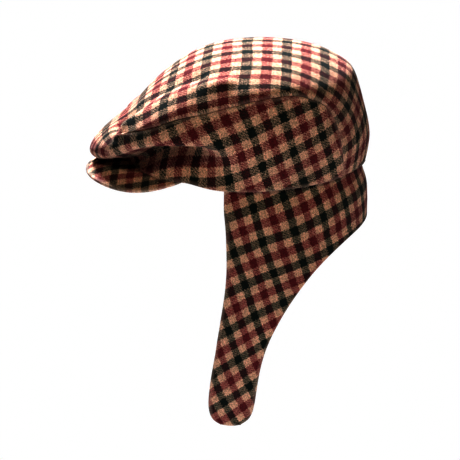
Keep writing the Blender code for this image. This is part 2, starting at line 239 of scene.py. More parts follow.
# %% Splines, the rim and the peak's height
def spline(rows, at):
    """Natural cubic spline through the rows, whose knots are 0, 1, 2 ..., read at the places in at.

    The second derivatives solve a tridiagonal system, and each span blends its two ends with them.
    """
    rows = np.asarray(rows, float)
    last = len(rows) - 1
    matrix = np.eye(last + 1)
    bend = np.zeros_like(rows)
    for knot in range(1, last):
        matrix[knot, knot - 1 : knot + 2] = (1.0, 4.0, 1.0)
        bend[knot] = 6.0 * (rows[knot - 1] - 2.0 * rows[knot] + rows[knot + 1])
    second = np.linalg.solve(matrix, bend.reshape(last + 1, -1)).reshape(rows.shape)
    low = np.clip(np.floor(at).astype(int), 0, last - 1)
    part = (np.asarray(at) - low).reshape((-1,) + (1,) * (rows.ndim - 1))
    rest = 1.0 - part
    line = rest * rows[low] + part * rows[low + 1]
    return line + ((rest**3 - rest) * second[low] + (part**3 - part) * second[low + 1]) / 6.0


def spline_net(net, first, second):
    """Splines along both directions of a net of values, read on the grid of first by second."""
    along = spline(net, first)
    return np.swapaxes(spline(np.swapaxes(along, 0, 1), second), 0, 1)


def column(table, name):
    """One named column of a table of rows."""
    return np.array([row[name] for row in table], float)


def ease(share):
    """Rises from 0 to 1 with a level start and end, as half a cosine wave."""
    return 0.5 - 0.5 * np.cos(np.pi * np.clip(share, 0.0, 1.0))


def peak_root():
    """How far along Y the peak's two rear corners lie."""
    return RIM_SHIFT - 0.5 * RIM_LENGTH * np.cos(np.radians(PEAK_ROOT_TURN))


def peak_height(x, y):
    """Height of the peak's upper face: a parabola across, deeper in front, less a cube at the tip."""
    root = peak_root()
    base = RIM_SHIFT - 0.5 * RIM_LENGTH
    forward = np.maximum((root - y) / (root - base), 0.0)
    arch = PEAK_ROOT_ARCH + (PEAK_ARCH - PEAK_ROOT_ARCH) * forward
    tip = np.maximum((base - y) / (PEAK_REACH + base), 0.0)
    return PEAK_HEIGHT - arch * (x / (0.5 * PEAK_WIDTH)) ** 2 - PEAK_TIP_FALL * tip**3


def rim(turn, inset=0.0):
    """Outer edge of the hem at a turn in degrees: an ellipse that dips at the ear and rises behind."""
    angle = np.radians(turn)
    away = np.abs(turn)
    x = (0.5 * RIM_WIDTH - inset) * np.sin(angle)
    y = RIM_SHIFT - (0.5 * RIM_LENGTH - inset) * np.cos(angle)
    temple_x = 0.5 * RIM_WIDTH * np.sin(np.radians(PEAK_ROOT_TURN))
    temple_height = peak_height(temple_x, peak_root()) + PEAK_CLEARANCE
    to_ear = ease((away - PEAK_ROOT_TURN) / (HEM_LOWEST_TURN - PEAK_ROOT_TURN))
    to_back = ease((away - HEM_LOWEST_TURN) / (180.0 - HEM_LOWEST_TURN))
    behind = temple_height + (HEM_EAR - temple_height) * to_ear + (HEM_BACK - HEM_EAR) * to_back
    z = np.where(away <= PEAK_ROOT_TURN, peak_height(x, y) + PEAK_CLEARANCE, behind)
    return np.stack([x, y, z], -1)


def crown_point(shares):
    """A point from its shares of the crown's half width, the rim's half length and the height."""
    return np.asarray(shares, float) * (0.5 * CROWN_WIDTH, 0.5 * RIM_LENGTH, CROWN_HEIGHT)


def rest_on_peak(points):
    """Lifts what would sink into the peak to just above it."""
    points = points.copy()
    floor = peak_height(points[..., 0], points[..., 1]) + PEAK_CLEARANCE
    above = np.maximum(points[..., 2], floor)
    points[..., 2] = np.where(points[..., 1] < peak_root(), above, points[..., 2])
    return points


print("the peak starts", round(1000 * peak_root()), "mm along Y")
print("the hem at the ear is at", rim(90.0)[2].round(4), "m")

# %% Side panel: five points down each section, joined by splines both ways
def side_surface(across, down):
    """The left side panel at section places across and places down, from seam to hem.

    Between fold and hem it is moved towards the crown's axis by a squared sine, deepest in front,
    and lifted by the same sine times a share that falls evenly to nothing.
    """
    hem = rim(column(SIDE_SECTIONS, "turn"))
    parts = [crown_point(column(SIDE_SECTIONS, name)) for name in ("seam", "belly", "fold", "tuck")]
    surface = spline_net(np.stack(parts + [hem], 1), across, down)
    fade = 1.0 - ease((across - HOLLOW_FADES[0]) / (HOLLOW_FADES[1] - HOLLOW_FADES[0]))
    under = np.sin(np.pi * np.clip(0.5 * down - 1.0, 0.0, 1.0)) ** 2
    lifted = np.clip(1.0 - across / HOLLOW_LEVEL, 0.0, 1.0)
    away = np.linalg.norm(surface[..., :2], axis=-1, keepdims=True)
    surface[..., :2] *= 1.0 - HOLLOW_DEPTH * (fade[:, None] * under[None, :])[..., None] / away
    surface[..., 2] += HOLLOW_RISE * lifted[:, None] * under[None, :]
    return rest_on_peak(surface)


def side_edge(stations):
    """The side panel's outline, from the front hem up, along the top seam and down to the back hem."""
    sections = len(SIDE_SECTIONS) - 1
    past_front = stations - SECTION_SPANS
    across = np.clip(past_front, 0.0, sections)
    down = np.maximum(-past_front, 0.0) + np.maximum(past_front - sections, 0.0)
    surface = side_surface(across, down)
    return surface[np.arange(len(stations)), np.arange(len(stations))]


print("side panel at its middle:", side_surface(np.array([5.0]), np.array([1.0]))[0, 0].round(3))

# %% Top panel: each section falls from a soft ridge to a round shoulder
def arc_lengths(surface, axis):
    """Distances along the grid lines of one direction, from their start and from their end."""
    steps = np.linalg.norm(np.diff(surface, axis=axis), axis=-1)
    pad = [(0, 0), (0, 0)]
    pad[axis] = (1, 0)
    from_start = np.pad(np.cumsum(steps, axis=axis), pad)
    return from_start, np.take(from_start, [-1], axis=axis) - from_start


def normals(surface):
    """Unit normals of a grid of points: the cross product of its steps along both directions."""
    normal = np.cross(np.gradient(surface, axis=0), np.gradient(surface, axis=1))
    return normal / np.linalg.norm(normal, axis=-1, keepdims=True)


def smooth_top(stations, sweep):
    """The top panel without its creases.

    The fall from the centre to the seam is a hyperbola over the ridge plus a superellipse at the
    shoulder. Within a station of either end it blends onto the rim.
    """
    edge = side_edge(stations)[:, None, :]
    along, up, shoulder, ridge = TOP_STATIONS.T
    middle_line = crown_point(np.column_stack([np.zeros_like(along), along, up]))
    centre = spline(middle_line, stations)[:, None, :]
    shoulder = spline(shoulder, stations)[:, None]
    ridge = spline(ridge, stations)[:, None]
    reach = np.abs(sweep)[None, :]
    soft = (np.sqrt(reach**2 + ridge**2) - ridge) / (np.sqrt(1.0 + ridge**2) - ridge)
    round_off = 1.0 - np.sqrt(1.0 - reach**SHOULDER_POWER)
    fall = (1.0 - shoulder) * soft + shoulder * round_off
    x = edge[..., 0] * sweep[None, :]
    rest = centre[..., 1:] + (edge[..., 1:] - centre[..., 1:]) * fall[..., None]
    surface = np.concatenate([x[..., None], rest], -1)
    from_front = SIDE_SECTIONS[0]["turn"] * sweep
    from_back = np.copysign(180.0, sweep) + (SIDE_SECTIONS[-1]["turn"] - 180.0) * sweep
    for turn, from_end in ((from_front, stations), (from_back, len(TOP_STATIONS) - 1.0 - stations)):
        at_hem = ease(1.0 - from_end)[:, None, None]
        surface = surface + at_hem * (rim(turn) - surface)
    return rest_on_peak(surface)


def top_surface(stations, sweep):
    """The top panel with each crease pressed in as a soft valley, a Gaussian of the distance to it."""
    surface = smooth_top(stations, sweep)
    inward = normals(np.swapaxes(surface, 0, 1)).swapaxes(0, 1)
    pressed = np.zeros(surface.shape[:2])
    for crease in CREASES:
        start = smooth_top(*np.array(crease["start"]).reshape(2, 1))[0, 0]
        run = smooth_top(*np.array(crease["end"]).reshape(2, 1))[0, 0] - start
        along = np.clip(((surface - start) @ run) / (run @ run), 0.0, 1.0)
        away = np.linalg.norm(surface - (start + along[..., None] * run), axis=-1)
        shares = np.exp(-((away / (CROWN_HEIGHT * crease["width"])) ** 2))
        pressed += CROWN_HEIGHT * crease["depth"] * shares
    to_seam = np.minimum(*arc_lengths(surface, 1))
    pressed *= 1.0 - np.exp(-((to_seam / FOLD_FADES) ** 2))
    pressed += SEAM_SINK * np.exp(-((to_seam / SEAM_REACH) ** 2))
    return surface - inward * pressed[..., None]


print("top of the crown:", smooth_top(np.array([10.0]), np.array([0.0]))[0, 0].round(3))

# %% Flap and peak
def flap_rows(down):
    """Front and back turns and drops along the flap, with a corner where the nape seam ends."""
    rows = FLAP_ROWS.copy()
    rows[0, 1::2] = -FLAP_TUCK / FLAP_LENGTH
    corner = CURTAIN_ROWS - 1
    curtain = spline(rows[: corner + 1], np.minimum(down, corner))
    flap = spline(rows[corner:], np.maximum(down - corner, 0.0))
    return np.where(down[:, None] < corner, curtain, flap)


def flap_surface(across, down):
    """The left flap: each row runs between its two edges on an ellipse that narrows as it drops."""
    rows = flap_rows(down)[:, None, :]
    turn = rows[..., 0] + (rows[..., 2] - rows[..., 0]) * across
    drop = rows[..., 1] + (rows[..., 3] - rows[..., 1]) * across
    last = np.clip(down[:, None] - (len(FLAP_ROWS) - 3.0), 0.0, 2.0) / 2.0
    drop = drop + 4.0 * FLAP_TIP_ROUND * last**2 * across * (1.0 - across)
    inset = (WALL + FLAP_CLEARANCE) * (1.0 - ease(drop / FLAP_FLARE))
    knots, widths, lengths = FLAP_HANG.T
    out = 0.5 * RIM_WIDTH * np.interp(drop, knots, widths) - inset
    back = 0.5 * RIM_LENGTH * np.interp(drop, knots, lengths) - inset
    x = out * np.sin(np.radians(turn))
    y = RIM_SHIFT - back * np.cos(np.radians(turn))
    z = rim(turn)[..., 2] * (1.0 - ease(drop)) - FLAP_LENGTH * drop
    return np.stack([x, y, z], -1)


def peak_surface(across, inward):
    """The peak's upper face, straight lines from a superellipse edge in to the hem."""
    spread = across[:, None]
    turn = np.radians(90.0 * spread)
    edge_x = 0.5 * PEAK_WIDTH * np.sign(turn) * np.abs(np.sin(turn)) ** PEAK_SQUARENESS
    edge_x = edge_x * (1.0 - PEAK_CORNER * np.abs(spread) ** 10)
    edge_y = peak_root() - (PEAK_REACH + peak_root()) * np.cos(turn) ** PEAK_SQUARENESS
    base = rim(PEAK_ROOT_TURN * spread, PEAK_TUCK)
    x = edge_x + (base[..., 0] - edge_x) * inward[None, :]
    y = edge_y + (base[..., 1] - edge_y) * inward[None, :]
    return np.stack([x, y, peak_height(x, y)], -1)


print("flap tip:", flap_surface(np.array([0.5]), np.array([13.0]))[0, 0].round(3))

# %% [markdown]
# ## Laying a piece flat
#
# The check runs straight along the threads of the cloth, and only bends where the cloth does. So
# the pattern can't be projected from one side: each piece has to be unrolled into the flat shape
# that it was cut to. Blender's own unwrap could do it, but in code the flat sizes are known in
# metres. Each small triangle is laid flat by itself, and then two steps take turns: turn every
# triangle to fit its neighbours as well as it can, and find the points that suit all triangles best.

# %% Lay flat, as rigidly as the curvature allows
FLAT_ROUNDS = 40


def quad_corners(index):
    """The four corners of every quad of a grid of point numbers, one quad in each row."""
    corners = (index[:-1, :-1], index[1:, :-1], index[1:, 1:], index[:-1, 1:])
    return np.stack(corners, -1).reshape(-1, 4)


def cut_into_triangles(surface):
    """Both halves of every quad, cut along either diagonal, so that no direction is preferred."""
    index = np.arange(surface.shape[0] * surface.shape[1]).reshape(surface.shape[:2])
    a, b, c, d = quad_corners(index).T
    halves = ((a, b, c), (a, c, d), (a, b, d), (b, c, d))
    return np.concatenate([np.stack(corners, 1) for corners in halves])


def lay_flat(surface):
    """The surface unrolled, in metres: cotangent weights, and the best turn of each triangle."""
    triangles = cut_into_triangles(surface)
    points = surface.reshape(-1, 3)
    first = points[triangles[:, 1]] - points[triangles[:, 0]]
    second = points[triangles[:, 2]] - points[triangles[:, 0]]
    base = np.linalg.norm(first, axis=1)
    height = np.linalg.norm(np.cross(first, second), axis=1) / base
    foot = np.sum(first * second, axis=1) / base
    zero = np.zeros_like(base)
    laid = ((zero, zero), (base, zero), (foot, height))
    local = np.stack([np.stack(place, 1) for place in laid], 1)
    system = np.zeros((len(points), len(points)))
    edges = []
    for corner in range(3):
        start, end, apex = (triangles[:, (corner + step) % 3] for step in range(3))
        to_start, to_end = points[start] - points[apex], points[end] - points[apex]
        cross = np.linalg.norm(np.cross(to_start, to_end), axis=1)
        weight = np.clip(np.sum(to_start * to_end, axis=1) / cross, 0.05, 20.0)
        for row, place, sign in ((start, start, 1), (end, end, 1), (start, end, -1), (end, start, -1)):
            np.add.at(system, (row, place), sign * weight)
        edges.append((start, end, weight[:, None], local[:, (corner + 1) % 3] - local[:, corner]))
    system[0, 0] += 1.0
    solve = np.linalg.inv(system)
    flat = np.stack([arc_lengths(surface, 0)[0], arc_lengths(surface, 1)[0]], -1).reshape(-1, 2)
    for _ in range(FLAT_ROUNDS):
        match = sum(
            weight[..., None] * (flat[end] - flat[start])[:, :, None] * edge[:, None]
            for start, end, weight, edge in edges
        )
        angle = np.arctan2(match[:, 1, 0] - match[:, 0, 1], match[:, 0, 0] + match[:, 1, 1])
        cos, sin = np.cos(angle), np.sin(angle)
        turn = np.stack([cos, -sin, sin, cos], 1).reshape(-1, 2, 2)
        pull = np.zeros_like(flat)
        for start, end, weight, edge in edges:
            turned = weight * np.einsum("nij,nj->ni", turn, edge)
            np.add.at(pull, end, turned)
            np.add.at(pull, start, -turned)
        flat = solve @ pull
    return flat.reshape(surface.shape[:2] + (2,))


print("a piece is laid flat in", FLAT_ROUNDS, "rounds")

# %% Carry the check through its marks
PLATE_SCALE = 0.1
PLATE_SLACK = 0.02


def bend_through(marks, at):
    """Thin plate spline: a plane plus one hump r^2 log r for each mark, so that it meets the marks.

    marks are rows of flat x, flat y and the two values there. It returns the values at the places.
    """
    places, values = marks[:, :2], marks[:, 2:]

    def humps(points):
        apart = np.linalg.norm(points[:, None] - places, axis=-1) / PLATE_SCALE
        return apart**2 * np.log(np.maximum(apart, 1e-9))

    def plane(points):
        return np.column_stack([np.ones(len(points)), points / PLATE_SCALE])

    count = len(places)
    system = np.zeros((count + 3, count + 3))
    system[:count, :count] = humps(places) + PLATE_SLACK * np.eye(count)
    system[:count, count:] = plane(places)
    system[count:, :count] = plane(places).T
    weights = np.linalg.solve(system, np.vstack([values, np.zeros((3, 2))]))
    points = at.reshape(-1, 2)
    found = np.hstack([humps(points), plane(points)]) @ weights
    return found.reshape(at.shape)


print("the marks are met with a slack of", PLATE_SLACK)

# %% [markdown]
# ## A cloth piece with rounded rims
#
# Solidify can give a sheet its thickness, but its rim is a flat strip. A cut edge of wool that is
# turned in at a seam is round, and that roundness catches the light. So each piece is built as a
# shell in code: the outer face, the inner face, and between them a rim that runs round half a
# circle. The points beside an edge make room for it by sliding in along the grid lines.

# %% Make room for a round rim
def pulled_in(grid, distance, room=4.0):
    """Every edge moved in by the distance along the grid lines; nearby points follow, ever less."""
    moved = grid.copy()
    for axis in (0, 1):
        step = np.gradient(grid, axis=axis)
        unit = step / np.linalg.norm(step[..., :3], axis=-1, keepdims=True)
        arcs = arc_lengths(grid[..., :3], axis)
        share = [np.clip(1.0 - arc / (room * distance), 0.0, 1.0) ** 2 for arc in arcs]
        moved += unit * (distance * (share[0] - share[1]))[..., None]
    return moved


def outward_edges(grid):
    """At each edge point the unit way out of the surface, with what the pattern changes along it."""
    out = np.zeros_like(grid)
    for axis in (0, 1):
        lines, ways = np.moveaxis(grid, axis, 0), np.moveaxis(out, axis, 0)
        for edge, beside in ((0, 1), (-1, -2)):
            way = lines[edge] - lines[beside]
            ways[edge] += way / np.linalg.norm(way[..., :3], axis=-1, keepdims=True)
    return out / np.maximum(np.linalg.norm(out[..., :3], axis=-1, keepdims=True), 1e-9)


def distance_to_edge(surface):
    """How far each point of a grid is from the nearest edge, along the grid lines."""
    return np.minimum.reduce([arc for axis in (0, 1) for arc in arc_lengths(surface, axis)])


patch = side_surface(np.arange(4.0, 7.0), np.arange(5.0))
print("the middle of a patch is", distance_to_edge(patch).max().round(3), "m from its edge")

# %% Build a closed shell with a half round rim
RIM_STEPS = 6


def cloth_shell(name, surface, pattern, thickness):
    """A closed piece: outer face, half round rim and inner face, with the pattern as its UV map.

    The rim's rings go out by the sine and down by one less the cosine of an angle from 0 to 180.
    """
    grid = pulled_in(np.concatenate([surface, pattern], -1), 0.5 * np.max(thickness))
    rows, columns = grid.shape[:2]
    index = np.arange(rows * columns).reshape(rows, columns)
    loop = np.concatenate([index[0, :-1], index[:-1, -1], index[-1, :0:-1], index[:0:-1, 0]])
    normal = normals(grid[..., :3])
    lift = np.concatenate([normal, np.zeros_like(pattern)], -1).reshape(-1, 5)
    outer = grid.reshape(-1, 5)
    thick = np.broadcast_to(thickness, grid.shape[:2]).reshape(-1, 1)
    inner = outer - thick * lift
    roll = 0.5 * thick[loop]
    angles = np.linspace(0.0, np.pi, RIM_STEPS + 2)[1:-1, None, None]
    out = outward_edges(grid).reshape(-1, 5)[loop]
    rings = outer[loop] + roll * (np.sin(angles) * out - (1.0 - np.cos(angles)) * lift[loop])
    count = rows * columns
    ring_points = 2 * count + np.arange(RIM_STEPS * len(loop)).reshape(RIM_STEPS, len(loop))
    steps = [loop, *ring_points, loop + count]
    quads = quad_corners(index)
    strips = [
        np.stack([near, np.roll(near, -1), np.roll(far, -1), far], -1)
        for near, far in zip(steps, steps[1:])
    ]
    faces = np.concatenate([quads, quads[:, ::-1] + count, *strips])
    points = np.concatenate([outer, inner, rings.reshape(-1, 5)])
    mesh = bpy.data.meshes.new(name)
    mesh.from_pydata(points[:, :3].tolist(), [], faces.tolist())
    mesh.shade_smooth()
    corners = np.empty(len(mesh.loops), int)
    mesh.loops.foreach_get("vertex_index", corners)
    check = mesh.uv_layers.new(name="check")
    check.uv.foreach_set("vector", points[corners, 3:].astype(np.float32).ravel())
    inside = np.tile(distance_to_edge(grid[..., :3]).ravel(), 2)
    on_rim = np.zeros(len(points) - 2 * count)
    from_rim = mesh.attributes.new("from_rim", "FLOAT", "POINT")
    from_rim.data.foreach_set("value", np.concatenate([inside, on_rim]))
    piece = bpy.data.objects.new(name, mesh)
    bpy.context.scene.collection.objects.link(piece)
    print(name, "has", 2 * len(faces), "triangles")
    return piece


print("a rim has", RIM_STEPS + 1, "strips of faces")

# %% Dress a solid with its cloth piece
def area_of(surface):
    """The sum of the areas of the grid's quads, from the cross products of their diagonals."""
    across = surface[1:, 1:] - surface[:-1, :-1]
    other = surface[1:, :-1] - surface[:-1, 1:]
    return 0.5 * np.linalg.norm(np.cross(across, other), axis=-1).sum()


def mirrored(grid):
    """The same grid on the other side of the head, its rows turned round so that it faces out."""
    return grid[::-1] * np.array((-1.0, 1.0, 1.0))


def dress(piece, node, material):
    """The piece stands for the solid of its name and takes the wool it is given."""
    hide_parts(node)
    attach(piece, "root")
    piece.data.materials.append(material)


unit_square = np.array([[[0, 0, 0], [1, 0, 0]], [[0, 1, 0], [1, 1, 0]]], float)
print("a unit square has an area of", area_of(unit_square))

# %% [markdown]
# ## The woven check
#
# The cloth is a 2/2 twill: every yarn passes over two crossing yarns and then under two, one step
# further in each row. The same four stripes, green, cream, red and cream, run in both directions,
# so the colour at a point is that of whichever yarn lies on top there. An image could hold the
# pattern, but counting yarns in the shader keeps it sharp at any distance. The UV map gives the
# place in whole repeats of the check, and a little noise on it lets the yarns wander as spun wool
# does.

# %% Shader helpers
GREEN = (0.006, 0.014, 0.009, 1.0)
CREAM = (0.66, 0.42, 0.28, 1.0)
RED = (0.138, 0.018, 0.021, 1.0)
WARP_YARNS = 46
WEFT_YARNS = 42
WOBBLE = 0.15
WOBBLE_SCALE = 26.0
STRIPE_STARTS = (0.25, 0.5, 0.75)
# Each pair is a spread and the least value: a yarn's own tone, and painted shade by the yarns'
# height, darker in the gaps between yarns.
YARN_SHADE = (0.30, 0.85)
PAINTED_GAP_SHADE = (0.85, 0.62)


def put(tree, kind, *inputs, **settings):
    """A shader node with its settings; its inputs, in order, are values, sockets to link or None."""
    node = tree.nodes.new("ShaderNode" + kind)
    for name, value in settings.items():
        setattr(node, name, value)
    for socket, value in zip(node.inputs, inputs):
        if isinstance(value, bpy.types.NodeSocket):
            tree.links.new(value, socket)
        elif value is not None:
            socket.default_value = value
    return node


def maths(tree, operation, *inputs):
    """The result of one Math node."""
    return put(tree, "Math", *inputs, operation=operation).outputs[0]


def mixed(tree, share, first, second):
    """Two colours mixed by a share."""
    node = put(tree, "Mix", data_type="RGBA")
    for name, value in (("Factor_Float", share), ("A_Color", first), ("B_Color", second)):
        socket = next(socket for socket in node.inputs if socket.identifier == name)
        if isinstance(value, bpy.types.NodeSocket):
            tree.links.new(value, socket)
        else:
            socket.default_value = value
    return next(socket for socket in node.outputs if socket.identifier == "Result_Color")


def node_group(name, inputs, outputs):
    """An empty node group with named sockets, and its two ends."""
    group = bpy.data.node_groups.new(name, "ShaderNodeTree")
    for way, sockets in (("INPUT", inputs), ("OUTPUT", outputs)):
        for label, kind in sockets.items():
            group.interface.new_socket(label, in_out=way, socket_type="NodeSocket" + kind)
    return group, group.nodes.new("NodeGroupInput").outputs, group.nodes.new("NodeGroupOutput").inputs


print("yarns per repeat:", WARP_YARNS, "and", WEFT_YARNS)

# %% The twill as a node group
def stripes(tree, yarn, yarns):
    """The colour of a yarn, counted from the middle of a green stripe: four bands of equal width."""
    phase = maths(tree, "FRACT", maths(tree, "MULTIPLY_ADD", yarn, 1.0 / yarns, 0.125))
    ramp = put(tree, "ValToRGB", phase)
    ramp.color_ramp.interpolation = "CONSTANT"
    ramp.color_ramp.elements.remove(ramp.color_ramp.elements[1])
    ramp.color_ramp.elements[0].color = GREEN
    for start, colour in zip(STRIPE_STARTS, (CREAM, RED, CREAM)):
        ramp.color_ramp.elements.new(start).color = colour
    return ramp.outputs["Color"]


def twill_group():
    """2/2 twill: warp on top where (warp yarn - weft yarn) modulo 4 is below 2, weft elsewhere.

    A yarn's height is a parabola across it times a sine along its float over two others. The crisp
    weave is darkened where that height is low: painted shade in the gaps between the yarns. Fuzz
    mixes the crisp weave with the geometric mean of its two yarns' colours.
    """
    inputs = {"Place": "Vector", "Fuzz": "Float"}
    tree, given, result = node_group("wool_twill", inputs, {"Color": "Color", "Height": "Float"})
    noise = put(tree, "TexNoise", given["Place"], None, WOBBLE_SCALE, 2.0).outputs["Color"]
    centred = put(tree, "VectorMath", noise, (0.5, 0.5, 0.5), operation="SUBTRACT").outputs[0]
    wobble = put(tree, "VectorMath", centred, operation="SCALE")
    wobble.inputs["Scale"].default_value = WOBBLE
    moved = put(tree, "VectorMath", given["Place"], wobble.outputs[0], operation="ADD").outputs[0]
    place = put(tree, "SeparateXYZ", moved).outputs
    warp = maths(tree, "MULTIPLY", place["X"], float(WARP_YARNS))
    weft = maths(tree, "MULTIPLY", place["Y"], float(WEFT_YARNS))
    warp_yarn, weft_yarn = maths(tree, "FLOOR", warp), maths(tree, "FLOOR", weft)
    warp_part, weft_part = maths(tree, "FRACT", warp), maths(tree, "FRACT", weft)
    turn = maths(tree, "FLOORED_MODULO", maths(tree, "SUBTRACT", warp_yarn, weft_yarn), 4.0)
    warp_on_top = maths(tree, "LESS_THAN", turn, 1.5)
    tops = []
    for yarn, count, part, way, start, along in (
        (warp_yarn, WARP_YARNS, warp_part, -1.0, 1.0, weft_part),
        (weft_yarn, WEFT_YARNS, weft_part, 1.0, -2.0, warp_part),
    ):
        middle = maths(tree, "ADD", yarn, 0.5)
        shade = put(tree, "TexWhiteNoise", None, middle, noise_dimensions="1D").outputs["Value"]
        bright = maths(tree, "MULTIPLY_ADD", shade, *YARN_SHADE)
        colour = put(tree, "VectorMath", stripes(tree, middle, count), operation="SCALE")
        tree.links.new(bright, colour.inputs["Scale"])
        across = maths(tree, "MULTIPLY_ADD", part, 2.0, -1.0)
        round_yarn = maths(tree, "SUBTRACT", 1.0, maths(tree, "MULTIPLY", across, across))
        run = maths(tree, "ADD", maths(tree, "MULTIPLY_ADD", turn, way, start), along)
        arch = maths(tree, "SINE", maths(tree, "MULTIPLY", run, 0.5 * np.pi))
        tops.append((colour.outputs[0], maths(tree, "MULTIPLY", round_yarn, arch)))
    (warp_colour, warp_height), (weft_colour, weft_height) = tops
    height = maths(tree, "MAXIMUM", warp_height, weft_height)
    crossing = put(tree, "CombineXYZ", warp_yarn, weft_yarn).outputs[0]
    spot = put(tree, "TexWhiteNoise", crossing, noise_dimensions="2D").outputs["Value"]
    # Painted shade: the weave's colour is darker where the yarns lie low, in the gaps between them;
    # the spots are random tone per crossing.
    painted_gap_shade = maths(tree, "MULTIPLY_ADD", height, *PAINTED_GAP_SHADE)
    painted_shade_and_spots = maths(tree, "MULTIPLY", painted_gap_shade, maths(tree, "ADD", spot, 0.5))
    upper = mixed(tree, warp_on_top, weft_colour, warp_colour)
    weave_with_painted_shade = put(tree, "VectorMath", upper, operation="SCALE")
    tree.links.new(painted_shade_and_spots, weave_with_painted_shade.inputs["Scale"])
    crisp = weave_with_painted_shade.outputs[0]
    product = put(tree, "VectorMath", weft_colour, warp_colour, operation="MULTIPLY")
    blurred = put(tree, "Gamma", product.outputs[0], 0.5).outputs[0]
    tree.links.new(mixed(tree, given["Fuzz"], crisp, blurred), result["Color"])
    tree.links.new(height, result["Height"])
    return tree


wool_twill = twill_group()
print("wool_twill has", len(wool_twill.nodes), "nodes")

# %% [markdown]
# ## Wear, lint and the wool's own unevenness
#
# Brushed wool is never one flat tone. The yarns take the dye a little unevenly, short hairs stand
# up and hide the weave in patches, and the turned edges are rubbed paler. These are soft masks from
# noise on the Object coordinates, and one from the attribute that holds each point's distance to
# the nearest edge. The flaps hang loose and are handled most, so they get the most lint.

# %% Wool finish shared by all pieces
DYE_SCALE = 38.0
LINT_SCALE = 900.0
RUBBED_WIDTH = 0.0035
# Each pair is a factor and what is added: the dye's tone, the lint's spread and the roughness.
DYE_TONE = (0.30, -0.25)
LINT_TONE = 2.2
LINT_SPREAD = (1.2, -0.6)
ROUGHNESS = (0.2, 0.8)


def finish_group():
    """Soft masks: the tone of the dye, the fuzz that hides the weave, and the rubbed edges."""
    inputs = {"Rubbing": "Float", "Lint": "Float"}
    outputs = {"Tone": "Float", "Fuzz": "Float", "Rubbed": "Float", "Roughness": "Float"}
    tree, given, result = node_group("wool_finish", inputs, outputs)
    place = put(tree, "TexCoord").outputs["Object"]
    broad = put(tree, "TexNoise", place, None, DYE_SCALE, 3.0).outputs["Fac"]
    fine = put(tree, "TexNoise", place, None, LINT_SCALE, 2.0).outputs["Fac"]
    dye = maths(tree, "MULTIPLY_ADD", broad, *DYE_TONE)
    tree.links.new(maths(tree, "MULTIPLY_ADD", fine, LINT_TONE, dye), result["Tone"])
    spread = maths(tree, "MULTIPLY_ADD", fine, *LINT_SPREAD)
    fuzz = put(tree, "Math", spread, given["Lint"], operation="ADD", use_clamp=True)
    tree.links.new(fuzz.outputs[0], result["Fuzz"])
    from_rim = put(tree, "Attribute", attribute_name="from_rim").outputs["Fac"]
    near = put(tree, "MapRange", from_rim, 0.0, RUBBED_WIDTH, 1.0, 0.0)
    near.interpolation_type = "SMOOTHSTEP"
    patchy = maths(tree, "MULTIPLY", near.outputs[0], maths(tree, "MULTIPLY_ADD", fine, 0.8, 0.2))
    tree.links.new(maths(tree, "MULTIPLY", patchy, given["Rubbing"]), result["Rubbed"])
    tree.links.new(maths(tree, "MULTIPLY_ADD", fine, *ROUGHNESS), result["Roughness"])
    return tree


wool_finish = finish_group()
print("wool_finish has", len(wool_finish.nodes), "nodes")

# %% The wool of each piece
RUBBED_COLOUR = (0.72, 0.56, 0.44, 1.0)
YARN_RELIEF = 0.00018


def wool(name, rubbing, relief, lint):
    """The check wool on one piece: the twill through the finish, on a shader with a little sheen."""
    material = bpy.data.materials.new(name)
    material.use_nodes = True
    tree = material.node_tree
    shader = tree.nodes["Principled BSDF"]
    finish = put(tree, "Group", node_tree=wool_finish)
    finish.inputs["Rubbing"].default_value = rubbing
    finish.inputs["Lint"].default_value = lint
    twill = put(tree, "Group", node_tree=wool_twill)
    tree.links.new(put(tree, "UVMap", uv_map="check").outputs["UV"], twill.inputs["Place"])
    tree.links.new(finish.outputs["Fuzz"], twill.inputs["Fuzz"])
    toned = put(tree, "VectorMath", twill.outputs["Color"], operation="SCALE")
    tree.links.new(finish.outputs["Tone"], toned.inputs["Scale"])
    worn = mixed(tree, finish.outputs["Rubbed"], toned.outputs[0], RUBBED_COLOUR)
    tree.links.new(worn, shader.inputs["Base Color"])
    tree.links.new(finish.outputs["Roughness"], shader.inputs["Roughness"])
    bump = put(tree, "Bump")
    bump.inputs["Strength"].default_value = relief
    bump.inputs["Distance"].default_value = YARN_RELIEF
    tree.links.new(twill.outputs["Height"], bump.inputs["Height"])
    tree.links.new(bump.outputs["Normal"], shader.inputs["Normal"])
    shader.inputs["Sheen Weight"].default_value = 0.08
    shader.inputs["Sheen Roughness"].default_value = 0.5
    shader.inputs["Specular IOR Level"].default_value = 0.1
    return material


crown_wool = wool("crown_wool", rubbing=0.25, relief=0.7, lint=0.50)
flap_wool = wool("flap_wool", rubbing=0.3, relief=0.6, lint=0.68)
brim_wool = wool("brim_wool", rubbing=0.5, relief=0.6, lint=0.65)
print("materials:", crown_wool.name, flap_wool.name, brim_wool.name)

# %% [markdown]
# ## Side panels
#
# Each side is one cut of wool, sewn to the top and to the hem, with its fullness folded under in
# front. Cloth simulation could drape it, but this fold is pressed in when the cap is made and keeps
# its place, so a worked-out surface holds it better. The table below ties crossings of the green
# stripes, counted along warp and weft, to places on the panel. The check bends smoothly between them.

